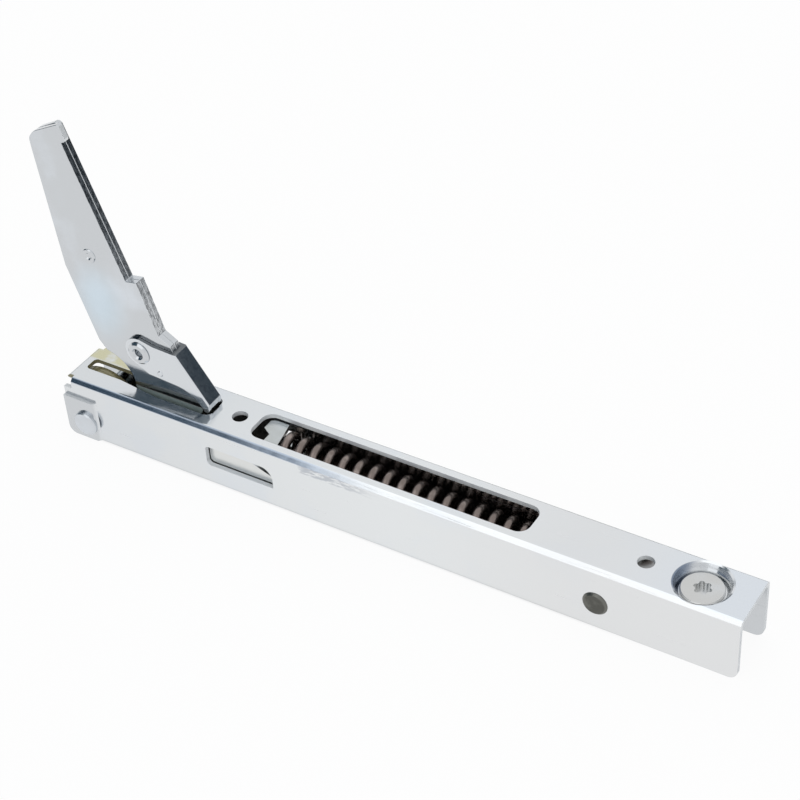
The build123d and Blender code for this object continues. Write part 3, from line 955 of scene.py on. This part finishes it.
class HINGE_OT_channel(bpy.types.Operator):
    """Finish of the channel and what is fixed in it"""

    bl_idname = "hinge.channel"
    bl_label = "Channel"

    def execute(self, context):
        finish = context.scene.hinge_finish
        dress(["case"], channel_material(finish))
        dress(["pivot_rivet"], turned_material("pivot_zinc", finish, finish.arm, duller=0.2))
        turned = turned_material("turned_zinc", finish, finish.arm)
        dress(["pivot_spacer_near", "pivot_spacer_far", "screw_nut"], turned)
        dress(["fixing_screw"], turned_material("screw_zinc", finish, finish.screw, duller=0.12))
        pin = dark_steel_material("pin_steel", finish.pin, finish.pin_worn, 0.38, rim=1.6)
        dress(["anchor_pin"], pin)
        return {"FINISHED"}


class HINGE_OT_arm(bpy.types.Operator):
    """Finish of the arm plates, their rivets and the link pin"""

    bl_idname = "hinge.arm"
    bl_label = "Arm"

    def execute(self, context):
        finish = context.scene.hinge_finish
        plate = arm_material(finish)
        broken_edge = 0.2 * MM
        heel = [(0.6 * MM, 109.6 * MM), (-1.5 * MM, 107.0 * MM)]
        front_tip = [(11.18 * MM, 114.69 * MM), (13.17 * MM, 109.03 * MM)]
        rear_tip = [(9.2 * MM, 114.0 * MM)]
        eased_copy("arm_front_plate", "arm", plate, broken_edge, heel + front_tip, 1.1 * MM)
        eased_copy("arm_rear_plate", "arm", plate, broken_edge, heel + rear_tip, 1.5 * MM)
        rivets = ["arm_rivet", "pivot_bush", "lever_rivet"]
        link = ["link_pin", "link_spacer_near", "link_spacer_far"]
        dress(rivets + link, turned_material("arm_fittings_zinc", finish, finish.arm))
        return {"FINISHED"}


class HINGE_OT_lever(bpy.types.Operator):
    """Finish of the lock lever"""

    bl_idname = "hinge.lever"
    bl_label = "Lock Lever"

    def execute(self, context):
        finish = context.scene.hinge_finish
        broken_edge = 0.15 * MM
        eased_copy("lock_lever", "lever", lever_material(finish), broken_edge)
        return {"FINISHED"}


class HINGE_OT_yoke(bpy.types.Operator):
    """Finish of the yoke that pulls the spring"""

    bl_idname = "hinge.yoke"
    bl_label = "Yoke"

    def execute(self, context):
        dress(["spring_yoke"], yoke_material(context.scene.hinge_finish))
        return {"FINISHED"}


class HINGE_OT_spring(bpy.types.Operator):
    """The coiled spring with its hook"""

    bl_idname = "hinge.spring"
    bl_label = "Spring"

    def execute(self, context):
        finish = context.scene.hinge_finish
        spring = context.scene.hinge_spring
        piece = tube("spring_wire", spring_path(spring), spring.wire, spring.sides)
        steel = dark_steel_material("spring_steel", finish.wire, finish.wire_worn, 0.24)
        piece.data.materials.append(steel)
        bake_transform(piece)
        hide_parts("spring")
        return {"FINISHED"}


class HINGE_OT_stage(bpy.types.Operator):
    """Floor, studio light and camera"""

    bl_idname = "hinge.stage"
    bl_label = "Stage"

    def execute(self, context):
        stage = context.scene.hinge_stage
        self.floor(stage)
        self.studio(context.scene, stage)
        self.camera(context.scene, stage)
        context.scene.view_settings.view_transform = "Standard"
        return {"FINISHED"}

    def floor(self, stage):
        """A plain pale floor that keeps a soft shadow."""
        level = cad_box[0][2]
        corners = [
            (stage.floor_left, stage.floor_front, level),
            (stage.floor_right, stage.floor_front, level),
            (stage.floor_right, stage.floor_back, level),
            (stage.floor_left, stage.floor_back, level),
        ]
        mesh = bpy.data.meshes.new("floor")
        mesh.from_pydata(corners, [], [(0, 1, 2, 3)])
        floor = bpy.data.objects.new("floor", mesh)
        bpy.context.scene.collection.objects.link(floor)
        mesh.materials.append(self.paper(stage))

    def paper(self, stage):
        """Paper that is seen as plain white, but is painted dark as shadow under the channel."""
        made, g = material("floor_paper")
        low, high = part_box("case")
        x, y, z = g.axes(g.place())
        covered = x.above(low[0], low[0] + 2 * MM)
        covered = covered * x.below(high[0] - 60 * MM, high[0] - 16 * MM)
        covered = covered * abs(y).below(high[1] - 3 * MM, high[1])
        # Painted shadow: the floor under the channel is painted dark
        paper = g.mix(colour(stage.floor), colour(stage.floor_shaded), covered)
        matte = g.node("ShaderNodeBsdfDiffuse", None, {"Color": paper})
        white = g.node("ShaderNodeEmission", None, {"Color": (1, 1, 1, 1), "Strength": 1.0})
        path = g.node("ShaderNodeLightPath").socket.node.outputs
        rays = ("Is Camera Ray", "Is Glossy Ray", "Is Transmission Ray")
        seen = sum(Wire(g, path[kind]) for kind in rays).above(0.4, 0.6)
        share = seen * (1 - covered) * stage.glow
        mixed = g.node("ShaderNodeMixShader", None, {0: share, 1: matte, 2: white})
        g.node("ShaderNodeOutputMaterial", None, {"Surface": mixed})
        return made

    def studio(self, scene, stage):
        """Bright studio walls with dark sides that the polished faces pick up."""
        world = bpy.data.worlds.new("studio")
        world.use_nodes = True
        scene.world = world
        g = Graph(world.node_tree)
        towards = g.place(output="Generated")
        x, y, z = g.axes(towards)

        def around(direction, inner, outer):
            """1 within inner degrees of a direction, 0 past outer degrees."""
            aim = tuple(Vector(direction).normalized())
            links = {0: towards, 1: aim}
            facing = g.node("ShaderNodeVectorMath", {"operation": "DOT_PRODUCT"}, links, output=1)
            return facing.above(math.cos(math.radians(outer)), math.cos(math.radians(inner)))

        above_floor = z.above(0.0, 0.03)
        front_left = y.below(-0.10, 0.0) * x.below(SHADE_END - 0.010, SHADE_END)
        front_left = front_left * above_floor * z.below(0.80, 0.88)
        far_left = x.below(-0.86, -0.80) * above_floor * z.below(0.45, 0.55)
        shade = front_left + (1 - front_left) * far_left
        walls = g.mix(colour(stage.sky), colour(stage.shade_front), shade)
        back_right = around((0.74, 0.66, 0.02), inner=17, outer=28)
        walls = g.paint(walls, stage.shade_back, back_right)
        skirting = z.above(-0.06, -0.02) * z.below(0.05, 0.12)
        skirting = skirting * y.above(0.5, 0.6) * x.below(0.0, 0.1)
        walls = g.paint(walls, stage.shade_back, skirting)
        underfoot = around((0, 0, -1), inner=58, outer=66)
        walls = g.mix(walls, (1, 1, 1, 1), underfoot)
        box = x.above(SHADE_END, SHADE_END + 0.008) * x.below(0.10, 0.20)
        box = box * y.below(0.20, 0.30) * z.above(-0.02, 0.03)
        strength = box * stage.softbox + 1.0
        light = g.node("ShaderNodeBackground", None, {"Color": walls, "Strength": strength})
        g.node("ShaderNodeOutputWorld", None, {"Surface": light})

    def camera(self, scene, stage):
        """The photograph's viewpoint."""
        data = bpy.data.cameras.new("camera")
        data.lens = stage.focal
        data.sensor_width = 36.0
        place = (0.3688, -0.3659, 0.4068)
        right = Vector((0.8536, 0.5181, -0.0553)).normalized()
        up = Vector((-0.2897, 0.5602, 0.7760))
        back = right.cross(up).normalized()
        up = back.cross(right).normalized()
        turn = Matrix((right, up, back)).transposed().to_4x4()
        camera = bpy.data.objects.new("camera", data)
        camera.matrix_world = Matrix.Translation(place) @ turn
        scene.collection.objects.link(camera)
        scene.camera = camera


class HINGE_PT_panel(bpy.types.Panel):
    """Hinge tools in the sidebar"""

    bl_label = "Oven Door Hinge"
    bl_idname = "HINGE_PT_panel"
    bl_space_type = "VIEW_3D"
    bl_region_type = "UI"
    bl_category = "Hinge"

    def draw(self, context):
        for operator in OPERATORS:
            self.layout.operator(operator.bl_idname)


OPERATORS = (
    HINGE_OT_stage,
    HINGE_OT_channel,
    HINGE_OT_arm,
    HINGE_OT_lever,
    HINGE_OT_yoke,
    HINGE_OT_spring,
)
CLASSES = (HingeFinish, HingeSpring, HingeStage, *OPERATORS, HINGE_PT_panel)


def register():
    for cls in CLASSES:
        bpy.utils.register_class(cls)
    bpy.types.Scene.hinge_finish = PointerProperty(type=HingeFinish)
    bpy.types.Scene.hinge_spring = PointerProperty(type=HingeSpring)
    bpy.types.Scene.hinge_stage = PointerProperty(type=HingeStage)


def unregister():
    del bpy.types.Scene.hinge_finish
    del bpy.types.Scene.hinge_spring
    del bpy.types.Scene.hinge_stage
    for cls in reversed(CLASSES):
        bpy.utils.unregister_class(cls)


def main():
    register()
    bpy.ops.hinge.stage()
    bpy.ops.hinge.channel()
    bpy.ops.hinge.arm()
    bpy.ops.hinge.lever()
    bpy.ops.hinge.yoke()
    bpy.ops.hinge.spring()


if __name__ == "__main__":
    main()
